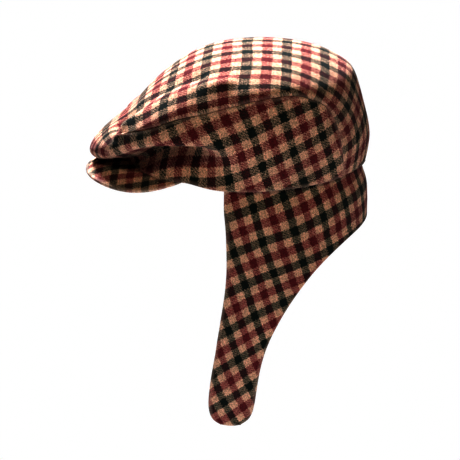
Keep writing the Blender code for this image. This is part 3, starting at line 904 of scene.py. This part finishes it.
# %% Side panels
# Columns: warp, weft, across, down.
SIDE_MARKS = np.array((
    (-1.0, -4, 0.34, 0.72), (-1.0, -3, 1.92, 0.35), (-1.0, -2, 3.52, 0.08),
    (-0.5, -2, 3.98, 1.43), (-0.5, -1, 5.02, 0.92), (0.0, -1, 5.34, 1.79), (0.0, 0, 6.28, 1.37),
    (0.0, 1, 7.22, 0.87), (0.0, 2, 9.22, 0.29), (0.5, -3, 1.84, 3.63), (0.5, -2, 4.18, 3.52),
    (0.5, -1, 5.44, 2.96), (1.0, -2, 4.30, 3.92), (1.0, -1, 5.56, 3.57), (1.0, 0, 6.54, 2.83),
    (1.0, 1, 7.64, 2.37), (1.0, 2, 8.98, 2.00), (2.0, 1, 8.16, 3.77), (2.0, 2, 9.36, 3.43),
), float)
SIDE_KNOTS = (41, 21)
SIDE_GRID = (221, 101)


def patterned(surface_of, knots, marks, fine):
    """Flat points on a coarse grid, bent through the marks and read by splines on the fine grid.

    marks are rows of warp, weft and the two places; the check and the coarse flat cut come back.
    """
    lines = [np.linspace(line[0], line[-1], count) for line, count in zip(fine, knots)]
    flat = lay_flat(surface_of(*lines))
    spans = [(count - 1) / (line[-1] - line[0]) for line, count in zip(fine, knots)]
    at = [(places - line[0]) * span for places, line, span in zip(marks[:, 2:].T, fine, spans)]
    found = spline_net(flat, *at)[np.arange(len(marks)), np.arange(len(marks))]
    check = bend_through(np.hstack([found, marks[:, :2]]), flat)
    read = [(line - line[0]) * span for line, span in zip(fine, spans)]
    return spline_net(check, *read), flat


across = np.linspace(0.0, len(SIDE_SECTIONS) - 1.0, SIDE_GRID[0])
down = np.linspace(0.0, SECTION_SPANS, SIDE_GRID[1])
side_check, side_flat = patterned(side_surface, SIDE_KNOTS, SIDE_MARKS, (across, down))
side = np.swapaxes(side_surface(across, down), 0, 1)
to_hem = arc_lengths(side, 0)[1]
side = side + normals(side) * (HEM_SWELL * np.exp(-((to_hem / HEM_REACH) ** 2)))[..., None]
side_check = np.swapaxes(side_check, 0, 1)
side_left = cloth_shell("side_panel_left_cloth", side, side_check, WALL)
side_right = cloth_shell("side_panel_right_cloth", mirrored(side), side_check[::-1], WALL)
dress(side_left, "side_panel_left", crown_wool)
dress(side_right, "side_panel_right", crown_wool)

# %% [markdown]
# ## Top panel
#
# The top is the long middle cut, from the front hem over the head to the back hem. It's stuffed
# full, so it is nearly level above and drops at a soft shoulder to the seam, with a raised fold on
# either side and a few creases where the cloth is pushed forward. A sculpted mesh would do as well;
# sections and Gaussian valleys are enough, and stay easy to move. More points are spent near the
# shoulders.

# %% Top panel
# Columns: warp, weft, station, sweep.
TOP_MARKS = np.array((
    (1, 0.0, 9.03, 0.04), (1, 1.0, 9.03, 0.36), (1, 2.0, 8.97, 0.64), (1, 3.0, 8.93, 0.88),
    (1, 3.5, 8.90, 0.98), (2, 0.0, 10.05, 0.06), (2, 1.0, 10.08, 0.36), (2, 2.0, 10.10, 0.67),
    (2, 3.0, 10.05, 0.91), (3, 0.0, 11.15, 0.04), (3, 1.0, 11.18, 0.40), (3, 2.0, 11.23, 0.74),
    (3, 3.0, 11.28, 0.96), (4, 1.0, 13.15, 0.46), (4, 2.0, 13.53, 0.83), (5, 1.0, 15.20, 0.40),
    (5, 2.0, 15.62, 0.71), (6, 1.0, 16.30, 0.25), (6, 2.0, 16.75, 0.64), (0, 1.0, 7.93, 0.32),
    (0, 2.0, 7.73, 0.63), (0, 3.0, 7.48, 0.85), (0, 3.5, 7.33, 0.98), (-1, 3.0, 5.68, 0.84),
    (-2, 3.0, 3.90, 0.66), (-2.5, 3.0, 3.10, 0.62), (-1, 2.0, 6.40, 0.39),
), float)
TOP_KNOTS = (55, 25)
TOP_GRID = (217, 141)
SHOULDER_CROWDING = 0.6
NOSE_WARP = -1.5

# The far half takes the same marks turned over, but for the centre line and the nose.
both_sides = TOP_MARKS[(TOP_MARKS[:, 1] != 0.0) & (TOP_MARKS[:, 0] > NOSE_WARP)]
top_marks = np.vstack([TOP_MARKS, both_sides * (1.0, -1.0, 1.0, -1.0)])
stations = np.linspace(0.0, len(TOP_STATIONS) - 1.0, TOP_GRID[0])
even = np.linspace(-1.0, 1.0, TOP_GRID[1])
sweep = even + SHOULDER_CROWDING * (np.sin(0.5 * np.pi * even) - even)
top_check, top_flat = patterned(smooth_top, TOP_KNOTS, top_marks, (stations, sweep))
top = np.swapaxes(top_surface(stations, sweep), 0, 1)
crown = cloth_shell("crown_top_cloth", top, np.swapaxes(top_check, 0, 1), WALL)
dress(crown, "crown_top", crown_wool)

# %% [markdown]
# ## Ear flaps
#
# A flap is a single sheet sewn inside the hem. It hangs nearly straight behind, as half of a curtain
# over the nape, and narrows to a round tip in front. A hanging simulation would find almost the
# same shape, because a sheet sewn along a curve keeps that curve's turn as it drops; here the
# ellipse it hangs from simply narrows towards the tip, as the flaps lean in to each other.

# %% Ear flaps
# Columns: warp, weft, across, down.
FLAP_MARKS = np.array((
    (1, 0, 0.14, 0.98), (1, 1, 0.29, 0.60), (2, -1, 0.04, 3.25), (2, 0, 0.17, 2.75),
    (2, 1, 0.33, 2.39), (2, 2, 0.49, 1.87), (2, 3, 0.64, 1.45), (2, 4, 0.82, 1.22),
    (3, -1, 0.16, 4.63), (3, 0, 0.36, 4.40), (3, 1, 0.59, 4.36), (3, 2, 0.82, 4.29),
    (4, -2, 0.14, 6.76), (4, -1, 0.44, 6.57), (4, 0, 0.82, 6.68), (5, -3, 0.03, 9.00),
    (5, -2, 0.47, 8.69), (5, -1, 0.90, 8.52), (6, -3, 0.34, 10.74), (6, -2, 0.84, 10.12),
), float)
FLAP_KNOTS = (21, 40)
FLAP_GRID = (111, 235)

flap_across = np.linspace(0.0, 1.0, FLAP_GRID[0])
flap_down = np.linspace(0.0, len(FLAP_ROWS) - 1.0, FLAP_GRID[1])
flap_check, flap_flat = patterned(
    lambda across, down: np.swapaxes(flap_surface(across, down), 0, 1),
    FLAP_KNOTS, FLAP_MARKS, (flap_across, flap_down),
)
flap = flap_surface(flap_across, flap_down)
flap_check = np.swapaxes(flap_check, 0, 1)
flap_left = cloth_shell("ear_flap_left_cloth", flap, flap_check, WALL)
flap_right = cloth_shell("ear_flap_right_cloth", mirrored(flap), flap_check[::-1], WALL)
dress(flap_left, "ear_flap_left", flap_wool)
dress(flap_right, "ear_flap_right", flap_wool)

# %% [markdown]
# ## Peak
#
# The peak is a thin stiff board with the same wool glued over it, straight with the threads. So its
# check needs no unrolling: it is counted along X and Y from one crossing of two green stripes. The
# board gets thinner at its two rear corners, where it slips in under the hem.

# %% Peak
PEAK_GREEN_LINES = (0.057, -0.084)
PEAK_REPEAT = (0.028, 0.029)
PEAK_GRID = (181, 41)

peak_across = np.linspace(-1.0, 1.0, PEAK_GRID[0])
peak = peak_surface(peak_across, np.linspace(0.0, 1.0, PEAK_GRID[1]))
peak_check = (peak[..., :2] - PEAK_GREEN_LINES) / PEAK_REPEAT
peak_thickness = PEAK_THICKNESS * (1.0 - PEAK_CORNER_THINNING * np.abs(peak_across[:, None]) ** 12)
brim = cloth_shell("brim_cloth", peak, peak_check, peak_thickness)
dress(brim, "brim", brim_wool)

# %% [markdown]
# ## Studio
#
# The photograph is a cut-out on pure white: a large soft lamp overhead, a weak warm fill from the
# camera's side and a background that is simply bright. A white floor that took the lamp's light
# would throw it back up into the cap. So the floor glows evenly towards the camera alone, which
# the Light Path node tells, and is dim to everything else. Four far walls carry the same paper up
# from it, so that a low view meets no dark horizon. The view's gamma sets the photograph's contrast.

# %% Floor and walls of pale paper
FLOOR_HEIGHT = -0.6
FLOOR_REACH = 20.0

floor_mesh = bpy.data.meshes.new("floor")
around = ((-1, -1), (1, -1), (1, 1), (-1, 1))
levels = (FLOOR_HEIGHT, FLOOR_REACH)
corners = [(x * FLOOR_REACH, y * FLOOR_REACH, z) for z in levels for x, y in around]
walls = [(near, near + 4, (near + 1) % 4 + 4, (near + 1) % 4) for near in range(4)]
floor_mesh.from_pydata(corners, [], [(0, 1, 2, 3), *walls])
floor = bpy.data.objects.new("floor", floor_mesh)
bpy.context.scene.collection.objects.link(floor)
paper = bpy.data.materials.new("paper")
paper.use_nodes = True
tree = paper.node_tree
paper_shader = tree.nodes["Principled BSDF"]
paper_shader.inputs["Base Color"].default_value = (0.8, 0.8, 0.8, 1.0)
glow = put(tree, "Emission")
seen = put(tree, "LightPath").outputs["Is Camera Ray"]
blend = put(tree, "MixShader", seen, paper_shader.outputs["BSDF"], glow.outputs["Emission"])
tree.links.new(blend.outputs[0], tree.nodes["Material Output"].inputs["Surface"])
floor_mesh.materials.append(paper)
print("floor at", FLOOR_HEIGHT, "m")

# %% Lamps and view
VIEW_GAMMA = 0.62
ROOM_COLOUR = (1.0, 0.95, 0.9, 1.0)
ROOM_STRENGTH = 0.03


def area_lamp(name, place, aim, size, power, colour):
    """A square area lamp at a place, turned towards its aim."""
    lamp = bpy.data.lights.new(name, "AREA")
    lamp.size = size
    lamp.energy = power
    lamp.color = colour
    holder = bpy.data.objects.new(name, lamp)
    holder.location = place
    holder.rotation_mode = "QUATERNION"
    holder.rotation_quaternion = (Vector(aim) - Vector(place)).to_track_quat("-Z", "Y")
    bpy.context.scene.collection.objects.link(holder)


area_lamp(
    "overhead", place=(-0.85, -0.4, 1.35), aim=(0.0, 0.0, 0.05),
    size=0.4, power=130.0, colour=(0.97, 0.955, 1.08),
)
area_lamp(
    "camera_side_fill", place=(1.5, 0.3, 1.5), aim=(0.0, 0.0, 0.0),
    size=0.3, power=17.3, colour=(1.0, 0.85, 0.69),
)
world = bpy.data.worlds.new("room")
world.use_nodes = True
background = world.node_tree.nodes["Background"]
background.inputs["Color"].default_value = ROOM_COLOUR
background.inputs["Strength"].default_value = ROOM_STRENGTH
bpy.context.scene.world = world
bpy.context.scene.view_settings.view_transform = "Standard"
bpy.context.scene.view_settings.gamma = VIEW_GAMMA
print("lamps:", ", ".join(lamp.name for lamp in bpy.data.lights))
